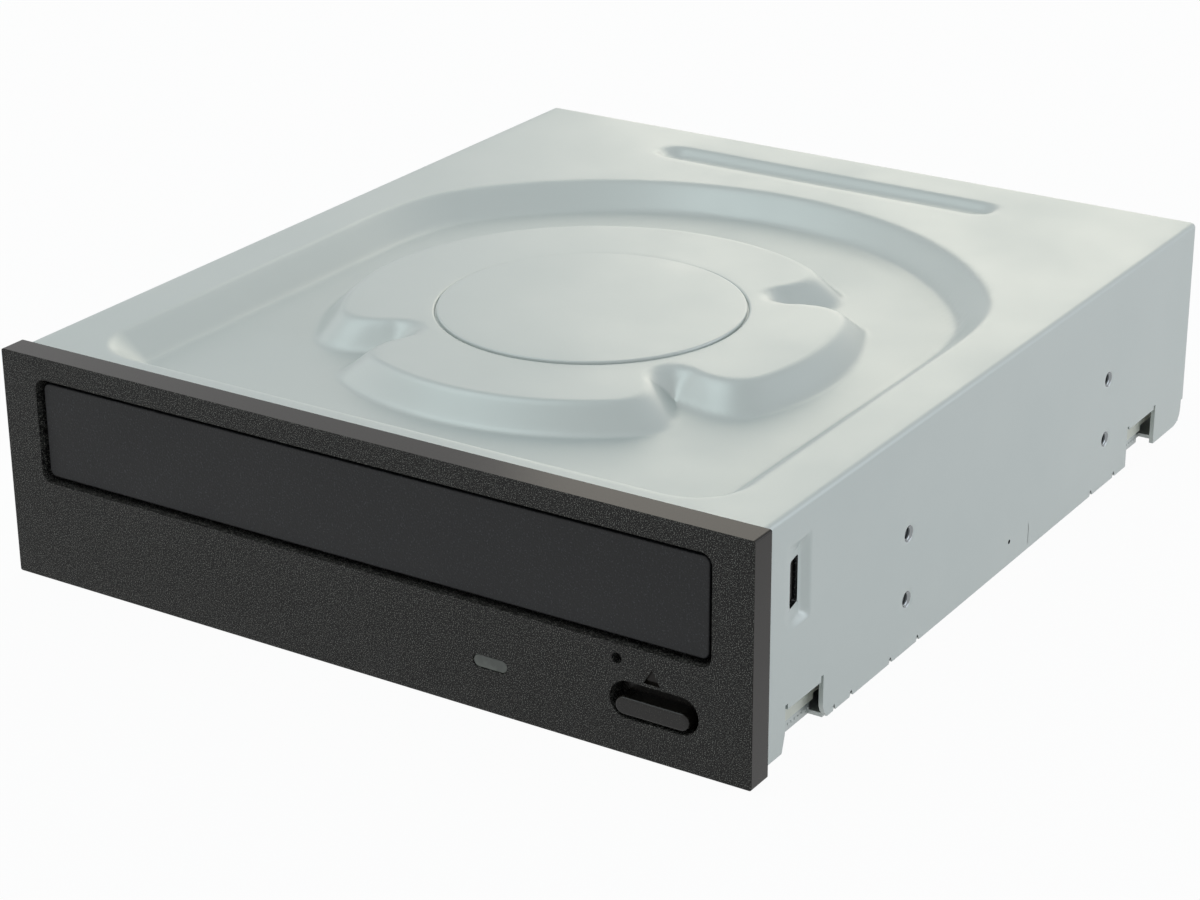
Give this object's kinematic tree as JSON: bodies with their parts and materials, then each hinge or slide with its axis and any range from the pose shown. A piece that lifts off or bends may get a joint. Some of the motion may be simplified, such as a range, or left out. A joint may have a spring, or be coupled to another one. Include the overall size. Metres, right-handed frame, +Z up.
{
  "type": "internal optical disc drive",
  "caption": "Half-height internal optical disc drive with a steel case, a sliding disc tray with its front door, and the loading and reading works inside",
  "frame": {"origin": "middle of the underside of the drive's bounding box", "axes": "+X to the right seen from the front, +Y from the front to the back, +Z up"},
  "size_m": [0.1482, 0.17, 0.0418],
  "materials": {
    "coated_steel": "satin zinc coating",
    "front_plastic": "fine spark texture",
    "door_plastic": "fine spark texture",
    "button_plastic": "satin",
    "cream_plastic": "moulded",
    "tray_plastic": "moulded",
    "gear_plastic": "natural acetal",
    "lamp_plastic": "clear grey-green",
    "bright_steel": "ground",
    "motor_steel": "drawn",
    "cast_metal": "die cast",
    "board": "solder mask",
    "chip": "moulded",
    "black_rubber": "matt",
    "soft_rubber": "matt",
    "film": "film",
    "lens": "coated",
    "can": "sleeved"
  },
  "bodies": {
    "case": {"top_cover": "coated_steel", "bottom_cover": "coated_steel", "bezel": "front_plastic", "main_frame": "cream_plastic", "clamp_bridge": "motor_steel", "bridge_screws": "bright_steel", "cover_screws": "bright_steel", "loading_motor": "motor_steel", "motor_screws": "bright_steel", "main_board": "board", "board_screws": "bright_steel", "main_processor": "chip", "motor_driver": "chip", "thermal_pad": "soft_rubber", "memory_chip": "chip", "board_capacitors": "can", "flex_sockets": "film", "sata_connector": "chip", "front_board": "board", "front_board_screws": "bright_steel", "eject_switch": "chip", "status_led": "lamp_plastic", "led_window": "lamp_plastic", "front_flex": "film", "drive_belt": "black_rubber"},
    "tray": {"disc_tray": "tray_plastic", "tray_door": "door_plastic"},
    "tray_gear": {"tray_gear": "gear_plastic"},
    "reduction_gear": {"reduction_gear": "gear_plastic"},
    "belt_pulley": {"belt_pulley": "gear_plastic"},
    "motor_rotor": {"motor_shaft": "bright_steel", "motor_pulley": "chip"},
    "cam": {"cam_slider": "gear_plastic"},
    "traverse": {"lift_frame": "tray_plastic", "grommets": "soft_rubber", "grommet_screws": "bright_steel", "traverse_base": "motor_steel", "guide_rod_main": "bright_steel", "guide_rod_sub": "bright_steel", "sled_motor": "motor_steel", "spindle_stator": "motor_steel"},
    "lead_screw": {"lead_screw": "bright_steel"},
    "pickup": {"pickup_body": "cast_metal"},
    "lens": {"lens_holder": "chip", "objective_lens": "lens"},
    "spindle": {"spindle_rotor": "motor_steel", "turntable": "tray_plastic", "turntable_pad": "soft_rubber", "turntable_magnet": "motor_steel"},
    "clamper": {"clamper": "tray_plastic", "clamp_plate": "bright_steel"},
    "button": {"eject_button": "button_plastic"},
    "plunger": {"switch_plunger": "film"}
  },
  "joints": [
    {"name": "tray_slide", "type": "slide", "parent": "case", "child": "tray", "axis": [0, -1, 0], "range_m": [0, 0.133]},
    {"name": "tray_gear_spin", "type": "hinge", "parent": "case", "child": "tray_gear", "pos_m": [-0.044, -0.06, 0.02], "axis": [0, 0, 1], "range_deg": [0, 847.7]},
    {"name": "reduction_spin", "type": "hinge", "parent": "case", "child": "reduction_gear", "pos_m": [-0.02643, -0.0536, 0.018], "axis": [0, 0, 1], "range_deg": [-3528.93, 0]},
    {"name": "belt_pulley_spin", "type": "hinge", "parent": "case", "child": "belt_pulley", "pos_m": [-0.01002, -0.06125, 0.017], "axis": [0, 0, 1], "range_deg": [0, 14112.74]},
    {"name": "motor_spin", "type": "hinge", "parent": "case", "child": "motor_rotor", "pos_m": [0.01498, -0.057, 0.016], "axis": [0, 0, 1], "range_deg": [0, 43512.19]},
    {"name": "cam_slide", "type": "slide", "parent": "case", "child": "cam", "axis": [1, 0, 0], "range_m": [0, 0.014]},
    {"name": "traverse_tilt", "type": "hinge", "parent": "case", "child": "traverse", "pos_m": [0, 0.071, 0.0136], "axis": [1, 0, 0], "range_deg": [0, 4]},
    {"name": "pickup_slide", "type": "slide", "parent": "traverse", "child": "pickup", "axis": [0, 1, 0], "range_m": [0, 0.035]},
    {"name": "lead_screw_spin", "type": "hinge", "parent": "traverse", "child": "lead_screw", "pos_m": [0.031, 0.02, 0.02], "axis": [0, 1, 0], "range_deg": [0, 4201]},
    {"name": "lens_focus", "type": "slide", "parent": "pickup", "child": "lens", "axis": [0, 0, 1], "range_m": [-0.0004, 0.0004], "stiffness_N_per_m": 40},
    {"name": "spindle_spin", "type": "hinge", "parent": "traverse", "child": "spindle", "pos_m": [0, -0.014, 0.022], "axis": [0, 0, 1], "continuous": true},
    {"name": "clamper_spin", "type": "hinge", "parent": "case", "child": "clamper", "pos_m": [0, -0.014, 0.034], "axis": [0, 0, 1], "continuous": true},
    {"name": "eject_press", "type": "slide", "parent": "case", "child": "button", "axis": [0, 1, 0], "range_m": [0, 0.0008], "stiffness_N_per_m": 800},
    {"name": "switch_press", "type": "slide", "parent": "case", "child": "plunger", "axis": [0, 1, 0], "range_m": [0, 0.00081]}
  ],
  "couplings": [
    {"joint": "tray_gear_spin", "follows": "tray_slide", "rad_per_m": 111.11},
    {"joint": "reduction_spin", "follows": "tray_slide", "rad_per_m": -462.96},
    {"joint": "belt_pulley_spin", "follows": "tray_slide", "rad_per_m": 1851.9},
    {"joint": "motor_spin", "follows": "tray_slide", "rad_per_m": 5709.9},
    {"joint": "traverse_tilt", "follows": "cam_slide", "rad_per_m": 4.9867},
    {"joint": "lead_screw_spin", "follows": "pickup_slide", "rad_per_m": 2094.4},
    {"joint": "clamper_spin", "follows": "spindle_spin", "ratio": 1},
    {"joint": "switch_press", "follows": "eject_press", "ratio": 1}
  ]
}
